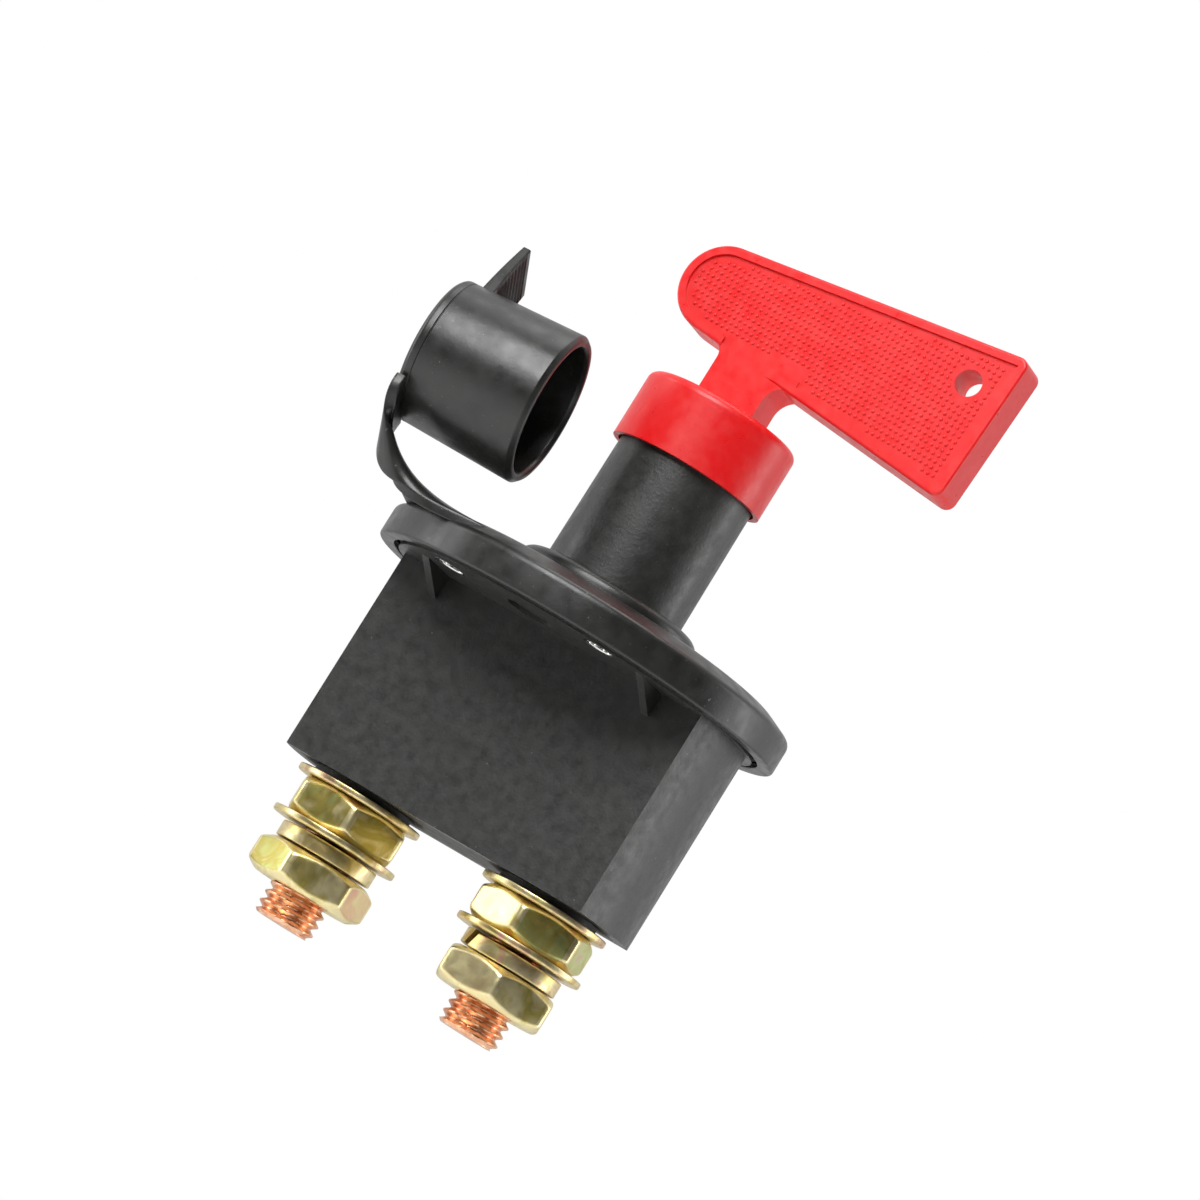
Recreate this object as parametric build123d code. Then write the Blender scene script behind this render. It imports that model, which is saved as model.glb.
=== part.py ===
"""Battery isolator switch with a removable key, a rubber boot with a tethered cap, and two terminal studs.

Millimetres, +Z up the neck. The origin is on the neck's axis in the flange's underside, which lies on the
panel. +X runs along the line of the two terminal studs, towards the long end of the key's blade.
Every function makes one piece in its place at rest: key in, switched off, cap hanging on its strap.
"""
from build123d import *
import os
from math import cos, radians, sin, sqrt

# --- housing --------------------------------------------------------------------------------------
BODY_R = 29.1            # round ends of the body
BODY_FLAT_Y = 10.4       # half distance between the body's two flats
BODY_BOTTOM_Z = -32.7
WALL = 2.2
CAVITY_TOP_Z = 1.2
FLANGE_R = 31.6
FLANGE_TOP_Z = 4.6
LAND_R = 30.2            # the ring that lies on the panel
LAND_H = 1.3
NECK_FOOT_R = 11.35
NECK_TIP_R = 11.1
NECK_TOP_Z = 40.0
NECK_MOUTH_R = 8.9
GUSSET_X = 19.5
GUSSET_REACH = 8.6
GUSSET_H = 3.8
GUSSET_T = 1.3

# --- mounting holes in the flange, each lined with an eyelet --------------------------------------
HOLE_X = 13.5
HOLE_Y = 22.0
EYELET_BORE_R = 2.1
EYELET_TUBE_R = 2.4
EYELET_RIM_R = 2.65
EYELET_RIM_H = 0.35
EYELET_GAP = 0.02
DIMPLE_R = 4.0           # shallow round sink between the two holes on each side
DIMPLE_Y = 19.0
DIMPLE_DEPTH = 0.6

# --- turning parts in the neck --------------------------------------------------------------------
ROTOR_R = 9.6
ROTOR_RUNNING_GAP = 0.05
ROTOR_TOP_Z = 22.0
BULKHEAD_Z = (22.3, 26.0)  # slotted shelf in the neck that traps the key's lugs once it is turned
SHAFT_R = 6.0
SHAFT_RUNNING_GAP = 0.06
SOCKET_R = 6.3
SHAFT_END_Z = 16.0
LUG_TOP_Z = 20.5
LUG_W = 4.0
LUG_REACH = 8.2
LUG_SLOT_W = 4.5
LUG_SLOT_REACH = 8.6
CAM_HIGH_Z = 13.0
CAM_RISE = 6.0           # drop of each half-turn ramp, so a quarter turn moves the bridge 3 mm
CAM_GAP = 0.12
CAM_STEPS = 15           # flat sectors of one ramp
CAM_EYE_R = 2.6          # plain hollow inside the ramps
PLUNGER_R = 9.2
PLUNGER_FOOT_Z = 4.4     # underside of the head, which drops 3 mm and stays above the body's cavity
PLUNGER_STEM_R = 6.0
PLUNGER_FOOT_HALF = (9.0, 6.5)
PLUNGER_FOOT_T = 2.5
BRIDGE_TOP_Z = -18.5

# --- contact bridge and spring --------------------------------------------------------------------
BRIDGE_T = 3.0
BRIDGE_HALF_LENGTH = 24.0
BRIDGE_HALF_WIDTH = 7.0
PEG_HALF = 3.0           # square peg of the plunger that carries the bridge
PEG_GAP = 0.05
PEG_END = 1.6            # how far the peg stands below the bridge
CLIP_R = 5.2
CLIP_T = 0.6
SPRING_R = 7.0
SPRING_WIRE_R = 0.55
SPRING_TURNS = 2.75

# --- terminal studs and their stacks --------------------------------------------------------------
STUD_X = 17.3
STUD_R = 4.9
STUD_GROOVE_R = 4.4      # run-out groove at the outer nut's face
STUD_GROOVE_Z = (-51.2, -50.1)
STUD_FREE_R = 4.8        # the end beyond the groove
STUD_END_Z = -55.6
STUD_CHAMFER = 0.5
HEAD_HALF = 7.0
HEAD_T = 4.0
BOSS_R = 8.1
BOSS_H = 1.0
NUT_FLATS = 17.0
NUT_CORNER_CUT = 0.55    # how far the chamfers come down the corners
NUT_FACE_INSET = 0.1     # the chamfers start this far inside the flats
SPRING_WASHER_OD = 15.8
FLAT_WASHER_R = 10.25
WASHER_BORE_R = 4.95
# from the base down: name, kind, top, bottom
STACK = (
    ("inner_washer", "washer", -33.7, -34.7),
    ("inner_nut", "nut", -34.7, -40.65),
    ("outer_washer", "washer", -40.65, -41.65),
    ("spring_washer", "split", -42.1, -44.5),
    ("outer_nut", "nut", -44.8, -50.5),
)
SIDES = {"left": -1, "right": 1}
# turn of each nut about its stud, in degrees
NUT_TURN = {"outer_nut_left": 31.9, "inner_nut_left": 59.2, "outer_nut_right": 54.2, "inner_nut_right": 39.4}
SPLIT_TURN = {"left": 100.0, "right": -123.0}
SPLIT_GAP = 0.7
SPLIT_SLANT = 25.0       # lean of the cut, in degrees

# --- base plate -----------------------------------------------------------------------------------
BASE_TOP_Z = -28.8
BASE_BOTTOM_Z = -32.7
BASE_GAP = 0.05

# --- rubber boot, strap and cap -------------------------------------------------------------------
BOOT_RIM_R = 33.6
BOOT_WALL_R = 31.7       # inside of the rim's wall, round the flange
BOOT_LIP_R = 31.1
BOOT_BOTTOM_Z = 0.1
BOOT_LIP_TOP_Z = 1.1
BOOT_EDGE_Z = 5.0
BOOT_TOP_Z = 7.1
BOOT_TOP_R = 29.0
BOOT_COLLAR_R = 14.2
BOOT_COLLAR_Z = 10.2
BOOT_COLLAR_TIP_R = 12.2
BOOT_BORE_R = 11.42
CAP_CLOSED_CENTRE = (-31.1, -29.1, 25.65)
CAP_TURN = 12.87         # heading of the cap's open end, from +X towards +Y
CAP_LIFT = 2.0           # rise of the same axis
CAP_ROLL = 27.9          # strap's way off the disc, from straight down towards -Y
CAP_LENGTH = 20.1
CAP_CLOSED_R = 11.2
CAP_OPEN_R = 11.8
CAP_BORE_R = 10.1
CAP_FLOOR = 1.7
TAB_ROOT = 10.4
TAB_TIP = 20.2
TAB_HALF_ROOT = 6.4
TAB_HALF_TIP = 5.2
TAB_Z = (2.2, 4.1)
STRAP_T = 1.7
STRAP_HALF_W = 5.45      # where it leaves the disc
STRAP_HEADING = 229.0    # the way it leaves the rim
STRAP_ROOT_Z = 5.6
STRAP_CLEARANCE = 0.35   # between the strap's end and the cap, which is another body
# side of the strap: azimuth and radius of its root, pull of the curve at the disc and at the root, rise there
STRAP_EDGES = {
    -1: (220.0, 32.6, 7.0, 3.1, 0.4),
    1: (255.9, 29.4, 15.0, 3.4, 0.45),
}
STRAP_STATIONS = 13

# --- key ------------------------------------------------------------------------------------------
KEY_SKIRT_R = 12.45
KEY_SKIRT_BORE_R = 11.6
KEY_SKIRT_Z = (31.0, 42.0)
KEY_CROWN_Z = 40.3       # underside of the crown, just clear of the neck's tip
KEY_CROWN_ROUND = 1.3
KEY_STEM_X = (-4.5, 5.5)
KEY_HALF_T = 3.42
KEY_END_CENTRE = (-9.7, 57.8)
KEY_END_R = 6.9
KEY_TIP_TOP = (39.0, 68.9)
KEY_TIP_BOTTOM = (37.7, 44.6)
KEY_TIP_ROUND = 1.6
KEY_RIM_W = 1.4
KEY_PANEL_DEPTH = 0.45
KEY_EDGE_ROUND = 0.45
KEY_STEM_HALF_T = 3.15   # the stem's faces lie a little proud of the panel's floor
KEY_STEM_TOP_Z = 50.7
KEY_STEM_TIP_DROP = 1.6  # the hollow on the tip side ends this much lower
KEY_STEM_FLARE = (2.2, 3.6)  # radii of the hollows between the stem and the blade, heel side and tip side
KEY_THROAT_H = 3.2       # height of the gap in the rim where the stem runs into the panel
LANYARD_HOLE = (32.1, 61.9)
LANYARD_R = 2.1


STANDING = (Align.CENTER, Align.CENTER, Align.MIN)


def disc(radius, low, high, x=0.0, y=0.0):
    """Solid cylinder about a vertical axis between two heights."""
    return Pos(x, y, low) * Cylinder(radius, high - low, align=STANDING)


def block(x_half, y_half, low, high, x=0.0, y=0.0):
    """Solid block about a vertical axis between two heights."""
    return Pos(x, y, low) * Box(2 * x_half, 2 * y_half, high - low, align=STANDING)


def revolved(points):
    """Solid of revolution about Z of a closed profile of (radius, height) points."""
    return revolve(Plane.XZ * make_face(Polyline(*points, close=True)), Axis.Z)


def flatted(radius, flat_y, low, high):
    """Round slab with two flats, facing -Y and +Y."""
    return disc(radius, low, high) & block(radius + 1, flat_y, low, high)


def bow_tie(reach, width, low, high):
    """Slot across the axis along X, for the key's two lugs."""
    return block(reach, width / 2, low, high)


# --- fixed shell ----------------------------------------------------------------------------------

def housing():
    """Body with two flats, round flange and neck, hollowed for the mechanism."""
    body = flatted(BODY_R, BODY_FLAT_Y, BODY_BOTTOM_Z, LAND_H)
    flange = disc(LAND_R, 0, FLANGE_TOP_Z) + disc(FLANGE_R, LAND_H, FLANGE_TOP_Z)
    neck = revolved(((0, 0), (NECK_FOOT_R, 0), (NECK_FOOT_R, FLANGE_TOP_Z), (NECK_TIP_R, NECK_TOP_Z),
                     (0, NECK_TOP_Z)))
    shell = body + flange + neck
    shell -= flatted(BODY_R - WALL, BODY_FLAT_Y - WALL, BODY_BOTTOM_Z, CAVITY_TOP_Z)
    shell -= disc(ROTOR_R + ROTOR_RUNNING_GAP, CAVITY_TOP_Z, BULKHEAD_Z[0])
    shell -= disc(SHAFT_R + SHAFT_RUNNING_GAP, BULKHEAD_Z[0], BULKHEAD_Z[1])
    shell -= bow_tie(LUG_SLOT_REACH, LUG_SLOT_W, BULKHEAD_Z[0], BULKHEAD_Z[1])
    shell -= disc(NECK_MOUTH_R, BULKHEAD_Z[1], NECK_TOP_Z)
    for side in (-1, 1):
        for x in (-GUSSET_X, GUSSET_X):
            shell += gusset(x, side)
        for x in (-HOLE_X, HOLE_X):
            shell -= disc(EYELET_TUBE_R + EYELET_GAP, 0, FLANGE_TOP_Z, x, side * HOLE_Y)
            shell -= disc(EYELET_RIM_R + EYELET_GAP, 0, EYELET_RIM_H, x, side * HOLE_Y)
        shell -= disc(DIMPLE_R, 0, DIMPLE_DEPTH, 0, side * DIMPLE_Y)
    return shell


def gusset(x, side):
    """Triangular web under the flange, standing on one flat of the body."""
    foot = BODY_FLAT_Y - WALL / 2
    profile = Polyline((foot, LAND_H), (BODY_FLAT_Y + GUSSET_REACH, LAND_H), (BODY_FLAT_Y + GUSSET_REACH, 0),
                       (BODY_FLAT_Y, -GUSSET_H), (foot, -GUSSET_H), close=True)
    web = extrude(Plane.YZ * make_face(profile), GUSSET_T / 2, both=True)
    return Pos(x, 0, 0) * (web if side > 0 else mirror(web, Plane.XZ))


def base_plate():
    """Plate that closes the body, with a round boss at each stud and a seat for the spring."""
    gap = WALL + BASE_GAP
    plate = flatted(BODY_R - gap, BODY_FLAT_Y - gap, BASE_BOTTOM_Z, BASE_TOP_Z)
    for side in SIDES.values():
        plate += disc(BOSS_R, BASE_BOTTOM_Z - BOSS_H, BASE_BOTTOM_Z, side * STUD_X)
        plate -= disc(WASHER_BORE_R, BASE_BOTTOM_Z - BOSS_H, BASE_TOP_Z, side * STUD_X)
    return plate


def mounting_eyelets():
    """Four plated eyelets, each with its rim rolled flush into the flange's underside."""
    eyelet = disc(EYELET_TUBE_R, 0, FLANGE_TOP_Z) + disc(EYELET_RIM_R, 0, EYELET_RIM_H)
    eyelet -= disc(EYELET_BORE_R, 0, FLANGE_TOP_Z)
    places = [(x, y) for x in (-HOLE_X, HOLE_X) for y in (-HOLE_Y, HOLE_Y)]
    return Compound([Pos(x, y, 0) * eyelet for x, y in places])


# --- mechanism ------------------------------------------------------------------------------------

def ramp_cuts(radius, foot_z, above):
    """Space on the open side of two half-turn ramps about Z that fall by CAM_RISE, in flat sectors.

    With above true it is the space under a ramp whose material lies above it, and otherwise the space over
    one whose material lies below it. A sector's face is at the ramp's high side on the upper part and at its
    low side on the lower one, so matching ramps stay clear of each other as they turn.
    """
    angle = 180.0 / CAM_STEPS
    cuts = []
    for half in range(2):
        for step in range(CAM_STEPS):
            start = 180.0 * half + angle * step
            fall = CAM_RISE * (step if above else step + 1) / CAM_STEPS
            face_z = foot_z + CAM_RISE - fall
            low, high = (foot_z - 1, face_z) if above else (face_z, foot_z + CAM_RISE + 1)
            cuts.append(sector(radius + 1, start, start + angle, low, high))
    eye = (foot_z - 1, foot_z + CAM_RISE) if above else (foot_z, foot_z + CAM_RISE + 1)
    return cuts + [disc(CAM_EYE_R, *eye)]


def sector(radius, start, end, low, high):
    """Slice of a cylinder between two angles in degrees and two heights."""
    first = (radius * cos(radians(start)), radius * sin(radians(start)))
    last = (radius * cos(radians(end)), radius * sin(radians(end)))
    middle_angle = radians((start + end) / 2)
    middle = (radius * cos(middle_angle), radius * sin(middle_angle))
    outline = Line((0, 0), first) + ThreePointArc(first, middle, last) + Line(last, (0, 0))
    return Pos(0, 0, low) * extrude(make_face(outline), high - low)


def cam_rotor():
    """Bush that the key turns: socket with lug slots above, two half-turn ramps below."""
    foot_z = CAM_HIGH_Z - CAM_RISE
    rotor = disc(ROTOR_R, foot_z, ROTOR_TOP_Z) - ramp_cuts(ROTOR_R, foot_z, above=True)
    rotor -= disc(SOCKET_R, SHAFT_END_Z - 0.3, ROTOR_TOP_Z)
    rotor -= bow_tie(LUG_SLOT_REACH, LUG_SLOT_W, SHAFT_END_Z - 0.3, ROTOR_TOP_Z)
    return rotor


def plunger():
    """Follower under the ramps, on a round stem, with a square peg through the bridge."""
    foot_z = CAM_HIGH_Z - CAM_RISE - CAM_GAP
    head = disc(PLUNGER_R, PLUNGER_FOOT_Z, foot_z + CAM_RISE) - ramp_cuts(PLUNGER_R, foot_z, above=False)
    stem = disc(PLUNGER_STEM_R, BRIDGE_TOP_Z, PLUNGER_FOOT_Z)
    foot = block(*PLUNGER_FOOT_HALF, BRIDGE_TOP_Z, BRIDGE_TOP_Z + PLUNGER_FOOT_T)
    peg = block(PEG_HALF, PEG_HALF, BRIDGE_TOP_Z - BRIDGE_T - PEG_END, BRIDGE_TOP_Z)
    return head + stem + foot + peg


def contact_bridge():
    """Copper bar that joins the two stud heads, with rounded ends and a contact pad at each."""
    low = BRIDGE_TOP_Z - BRIDGE_T
    bar = block(BRIDGE_HALF_LENGTH, BRIDGE_HALF_WIDTH, low, BRIDGE_TOP_Z)
    bar = fillet(bar.edges().filter_by(Axis.Z), 2.0)
    return bar - block(PEG_HALF + PEG_GAP, PEG_HALF + PEG_GAP, low, BRIDGE_TOP_Z)


def bridge_clip():
    """Push-on steel washer that holds the bridge on the plunger's peg."""
    top = BRIDGE_TOP_Z - BRIDGE_T
    return disc(CLIP_R, top - CLIP_T, top) - block(PEG_HALF, PEG_HALF, top - CLIP_T, top)


def return_spring():
    """Coil spring between the base plate and the bridge, which lifts the bridge off the studs."""
    low = BASE_TOP_Z + SPRING_WIRE_R
    height = BRIDGE_TOP_Z - BRIDGE_T - SPRING_WIRE_R - low
    path = Helix(pitch=height / SPRING_TURNS, height=height, radius=SPRING_R)
    start = path @ 0
    wire = Plane(origin=start, z_dir=path % 0) * Circle(SPRING_WIRE_R)
    return Pos(0, 0, low) * sweep(wire, path, is_frenet=True)


# --- terminals ------------------------------------------------------------------------------------

def stud(side):
    """Copper terminal stud with a square head inside the base."""
    x = side * STUD_X
    bolt = block(HEAD_HALF, HEAD_HALF, BASE_TOP_Z, BASE_TOP_Z + HEAD_T, x)
    bolt += disc(STUD_R, STUD_GROOVE_Z[1], BASE_TOP_Z, x)
    bolt += disc(STUD_GROOVE_R, *STUD_GROOVE_Z, x)
    bolt += disc(STUD_FREE_R, STUD_END_Z, STUD_GROOVE_Z[0], x)
    end = bolt.faces().sort_by(Axis.Z)[0]
    return chamfer(end.edges(), STUD_CHAMFER)


def washer(x, top, bottom):
    """Flat washer."""
    return disc(FLAT_WASHER_R, bottom, top, x) - disc(WASHER_BORE_R, bottom, top, x)


def split_washer(x, top, bottom, turn):
    """Spring washer, cut across at one place."""
    ring = disc(SPRING_WASHER_OD / 2, bottom, top, x) - disc(WASHER_BORE_R, bottom, top, x)
    middle = (WASHER_BORE_R + SPRING_WASHER_OD / 2) / 2
    saw = Rot(SPLIT_SLANT, 0, 0) * Box(2 * SPRING_WASHER_OD / 4, SPLIT_GAP, 3 * (top - bottom))
    return ring - Pos(x, 0, (top + bottom) / 2) * Rot(0, 0, turn) * Pos(middle, 0, 0) * saw


def nut(x, top, bottom, turn):
    """Hexagon nut with its corners chamfered at both faces."""
    corner_r = NUT_FLATS / sqrt(3)
    flat_r = NUT_FLATS / 2
    prism = extrude(RegularPolygon(corner_r, 6), top - bottom)
    height = top - bottom
    face_r = flat_r - NUT_FACE_INSET
    dome = revolved(((0, 0), (face_r, 0), (corner_r, NUT_CORNER_CUT), (corner_r, height - NUT_CORNER_CUT),
                     (face_r, height), (0, height)))
    body = (prism & dome) - disc(WASHER_BORE_R, 0, height)
    return Pos(x, 0, bottom) * Rot(0, 0, turn) * body


def terminal_stack(name, side):
    """The washers and nuts on one stud, as node names with their solids."""
    x = side * STUD_X
    pieces = {}
    for kind_name, kind, top, bottom in STACK:
        node = f"{kind_name}_{name}"
        if kind == "washer":
            pieces[node] = washer(x, top, bottom)
        elif kind == "split":
            pieces[node] = split_washer(x, top, bottom, SPLIT_TURN[name])
        else:
            pieces[node] = nut(x, top, bottom, NUT_TURN[node])
    return pieces


# --- rubber parts ---------------------------------------------------------------------------------

def boot_cover():
    """Round rubber cover that wraps the flange, with a collar round the neck."""
    cover = revolved(((BOOT_BORE_R, FLANGE_TOP_Z), (BOOT_WALL_R, FLANGE_TOP_Z), (BOOT_WALL_R, BOOT_LIP_TOP_Z),
                      (BOOT_LIP_R, BOOT_LIP_TOP_Z), (BOOT_LIP_R, BOOT_BOTTOM_Z), (BOOT_RIM_R, BOOT_BOTTOM_Z),
                      (BOOT_RIM_R, BOOT_EDGE_Z), (BOOT_TOP_R, BOOT_TOP_Z), (BOOT_COLLAR_R, BOOT_TOP_Z),
                      (BOOT_COLLAR_R - 0.2, BOOT_TOP_Z + 1.5), (BOOT_COLLAR_TIP_R + 0.9, BOOT_COLLAR_Z - 0.5),
                      (BOOT_COLLAR_TIP_R, BOOT_COLLAR_Z), (BOOT_BORE_R, BOOT_COLLAR_Z)))
    return cover


def cap_plane():
    """Plane on the cap's closed end: +Z into the cap towards its mouth, +X the way the strap leaves."""
    turn, lift, roll = radians(CAP_TURN), radians(CAP_LIFT), radians(CAP_ROLL)
    mouth = Vector(cos(lift) * cos(turn), cos(lift) * sin(turn), sin(lift))
    sideways = Vector(sin(turn), -cos(turn), 0)
    up = sideways.cross(mouth)
    strap_way = sideways * sin(roll) - up * cos(roll)
    return Plane(origin=CAP_CLOSED_CENTRE, x_dir=strap_way, z_dir=mouth)


def neck_cap():
    """Cap that covers the neck once the key is out, with a pull tab across from the strap."""
    shell = revolved(((0, 0), (CAP_CLOSED_R - 0.6, 0), (CAP_CLOSED_R, 0.6), (CAP_CLOSED_R, CAP_FLOOR),
                      (CAP_OPEN_R, CAP_LENGTH - 0.5), (CAP_OPEN_R - 0.4, CAP_LENGTH),
                      (CAP_BORE_R + 0.3, CAP_LENGTH), (CAP_BORE_R, CAP_LENGTH - 0.4),
                      (CAP_BORE_R, CAP_FLOOR), (0, CAP_FLOOR)))
    outline = Polyline((-TAB_ROOT, -TAB_HALF_ROOT), (-TAB_ROOT, TAB_HALF_ROOT), (-TAB_TIP, TAB_HALF_TIP),
                       (-TAB_TIP, -TAB_HALF_TIP), close=True)
    tab = Pos(0, 0, TAB_Z[0]) * extrude(make_face(outline), TAB_Z[1] - TAB_Z[0])
    tab -= disc(CAP_BORE_R + 0.5, 0, CAP_LENGTH)
    return cap_plane() * (shell + tab)


def bezier(points, t):
    """Point at t on the cubic curve with four control points."""
    p0, p1, p2, p3 = points
    return p0 * (1 - t) ** 3 + p1 * (3 * t * (1 - t) ** 2) + p2 * (3 * t * t * (1 - t)) + p3 * t ** 3


def strap_edges():
    """Control points of the strap's two edges, from the cap's disc round the bend to the boot's rim."""
    plane = cap_plane()
    leave = CAP_CLOSED_R + STRAP_CLEARANCE
    heading = radians(STRAP_HEADING)
    edges = []
    for side, (azimuth, reach, leave_pull, root_pull, root_rise) in STRAP_EDGES.items():
        start = (plane.origin + plane.x_dir * leave + plane.y_dir * (side * STRAP_HALF_W)
                 + plane.z_dir * (STRAP_T / 2))
        root = Vector(reach * cos(radians(azimuth)), reach * sin(radians(azimuth)), STRAP_ROOT_Z)
        outward = Vector(cos(heading), sin(heading), root_rise)
        edges.append((start, start + plane.x_dir * leave_pull, root + outward * root_pull, root))
    return edges


def strap_corners(t, one_edge, other_edge):
    """Four corners of the strap's cross-section at t, in order round it."""
    left, right = bezier(one_edge, t), bezier(other_edge, t)
    step = 1e-3 if t < 0.5 else -1e-3
    ahead = (bezier(one_edge, t + step) + bezier(other_edge, t + step) - left - right) * (1 / step)
    half_t = (right - left).cross(ahead).normalized() * (STRAP_T / 2)
    return [left - half_t, right - half_t, right + half_t, left + half_t]


def boot_strap():
    """Flat rubber strap that bends round and twists as it spreads from the cap's disc to the rim."""
    edges = strap_edges()
    rings = [strap_corners(i / (STRAP_STATIONS - 1), *edges) for i in range(STRAP_STATIONS)]
    faces = []
    for ring in (rings[0], rings[-1]):
        faces += [triangle(ring[0], ring[1], ring[2]), triangle(ring[0], ring[2], ring[3])]
    for ring, following in zip(rings, rings[1:]):
        for i in range(4):
            j = (i + 1) % 4
            faces += [triangle(ring[i], ring[j], following[j]), triangle(ring[i], following[j], following[i])]
    return Solid(Shell(faces))


def triangle(first, second, third):
    """Flat face with three corners."""
    return make_face(Polyline(first, second, third, close=True)).face()


# --- key ------------------------------------------------------------------------------------------

def key_outline():
    """Blade outline in the XZ plane: round heel, flanks that spread, square tip with small corners."""
    heel_x, heel_z = KEY_END_CENTRE
    top_heel = (heel_x - 0.6, heel_z + KEY_END_R)
    bottom_heel = (heel_x - 0.9, heel_z - KEY_END_R + 0.05)
    outline = Line(top_heel, KEY_TIP_TOP) + Line(KEY_TIP_TOP, KEY_TIP_BOTTOM)
    outline += Line(KEY_TIP_BOTTOM, bottom_heel)
    outline += ThreePointArc(bottom_heel, (heel_x - KEY_END_R, heel_z), top_heel)
    return make_face(outline)


def key_blade():
    """Blade with rounded edges, a sunk grip panel on both faces and a lanyard hole."""
    face = key_outline()
    blade = extrude(Plane.XZ * face, KEY_HALF_T, both=True)
    corners = blade.edges().filter_by(Axis.Y).sort_by(Axis.X)[-2:]
    blade = fillet(corners, KEY_TIP_ROUND)
    rims = blade.faces().sort_by(Axis.Y)[0].edges() + blade.faces().sort_by(Axis.Y)[-1].edges()
    blade = fillet(rims, KEY_EDGE_ROUND)
    panel = offset(face, -KEY_RIM_W)
    throat_w = KEY_STEM_X[1] - KEY_STEM_X[0] + 1
    throat = Pos(sum(KEY_STEM_X) / 2, KEY_STEM_TOP_Z) * Rectangle(throat_w, KEY_THROAT_H)
    for side in (-1, 1):
        floor = Plane(origin=(0, side * (KEY_HALF_T - KEY_PANEL_DEPTH), 0), x_dir=(1, 0, 0), z_dir=(0, -1, 0))
        blade -= extrude(floor * (panel + throat), -side * 2)
    hole = Pos(LANYARD_HOLE[0], 0, LANYARD_HOLE[1]) * Rot(90, 0, 0) * Cylinder(LANYARD_R, 4 * KEY_HALF_T)
    return blade - hole


def hollow_corner(start, end, x_way, z_way):
    """Quarter arc from start to end that bows towards the corner by x_way and z_way."""
    middle = ((start[0] + end[0]) / 2 + x_way, (start[1] + end[1]) / 2 + z_way)
    return ThreePointArc(start, middle, end)


def key_stem():
    """Stem that flares into the blade's underside through two hollow corners."""
    x_low, x_high = KEY_STEM_X
    foot = KEY_SKIRT_Z[1] - 1
    heel_flare, tip_flare = KEY_STEM_FLARE
    heel_z, tip_z = KEY_STEM_TOP_Z, KEY_STEM_TOP_Z - KEY_STEM_TIP_DROP
    bow = (sqrt(2) - 1) / 2
    heel = ((x_low, heel_z - heel_flare), (x_low - heel_flare, heel_z))
    tip = ((x_high + tip_flare, tip_z), (x_high, tip_z - tip_flare))
    outline = Line((x_low, foot), heel[0])
    outline += hollow_corner(*heel, bow * heel_flare, bow * heel_flare)
    outline += Line(heel[1], (x_high + tip_flare, heel_z))
    outline += Line((x_high + tip_flare, heel_z), tip[0])
    outline += hollow_corner(*tip, -bow * tip_flare, bow * tip_flare)
    outline += Line(tip[1], (x_high, foot))
    outline += Line((x_high, foot), (x_low, foot))
    return extrude(Plane.XZ * make_face(outline), KEY_STEM_HALF_T, both=True)


def key():
    """One moulding: blade, stem, skirt over the neck, shaft down the neck and two lugs."""
    skirt = disc(KEY_SKIRT_R, *KEY_SKIRT_Z)
    skirt = fillet(skirt.edges().sort_by(Axis.Z)[-1], KEY_CROWN_ROUND)
    skirt -= disc(KEY_SKIRT_BORE_R, KEY_SKIRT_Z[0], KEY_CROWN_Z)
    shaft = disc(SHAFT_R, SHAFT_END_Z, KEY_SKIRT_Z[1] - 0.5)
    lugs = block(LUG_REACH, LUG_W / 2, SHAFT_END_Z, LUG_TOP_Z)
    return skirt + key_stem() + key_blade() + shaft + lugs


def all_parts():
    """Every node's name with its solid."""
    parts = {
        "housing": housing(),
        "base_plate": base_plate(),
        "mounting_eyelets": mounting_eyelets(),
        "cam_rotor": cam_rotor(),
        "plunger": plunger(),
        "contact_bridge": contact_bridge(),
        "bridge_clip": bridge_clip(),
        "return_spring": return_spring(),
        "boot_cover": boot_cover(),
        "boot_strap": boot_strap(),
        "neck_cap": neck_cap(),
        "key": key(),
    }
    for name, side in SIDES.items():
        parts[f"stud_{name}"] = stud(side)
        parts.update(terminal_stack(name, side))
    return parts


os.makedirs("parts", exist_ok=True)
for node_name, solid in all_parts().items():
    export_step(solid, f"parts/{node_name}.step")
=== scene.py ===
"""Looks of a battery isolator switch: a red key, a rubber boot with a tethered cap, and two terminal studs.

Sizes are in millimetres and turn into metres in Piece.build. Heights and radii match the CAD part's, except that
the boot's collar is 0.7 mm wider and 0.5 mm taller here.
"""
import logging
from dataclasses import dataclass, field
from enum import Enum
from typing import Any, Iterable, Mapping, Sequence

import bmesh
import bpy
import numpy as np
from mathutils import Matrix, Vector


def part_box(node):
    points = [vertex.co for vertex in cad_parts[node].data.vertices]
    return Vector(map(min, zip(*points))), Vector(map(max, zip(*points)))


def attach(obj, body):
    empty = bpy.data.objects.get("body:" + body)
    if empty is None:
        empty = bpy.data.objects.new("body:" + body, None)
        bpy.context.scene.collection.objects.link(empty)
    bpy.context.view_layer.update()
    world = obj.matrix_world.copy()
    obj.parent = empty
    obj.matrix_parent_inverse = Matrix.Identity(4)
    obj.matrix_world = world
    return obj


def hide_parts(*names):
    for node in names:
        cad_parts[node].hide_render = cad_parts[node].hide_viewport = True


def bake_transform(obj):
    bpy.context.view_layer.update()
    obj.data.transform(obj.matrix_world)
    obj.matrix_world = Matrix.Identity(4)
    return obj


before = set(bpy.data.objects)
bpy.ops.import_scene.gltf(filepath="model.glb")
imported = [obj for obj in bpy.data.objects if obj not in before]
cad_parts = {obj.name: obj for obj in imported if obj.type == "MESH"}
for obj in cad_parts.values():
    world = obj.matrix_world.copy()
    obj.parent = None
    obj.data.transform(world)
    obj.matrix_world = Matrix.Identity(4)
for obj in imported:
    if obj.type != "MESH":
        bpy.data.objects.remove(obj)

Array = np.ndarray
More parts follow.
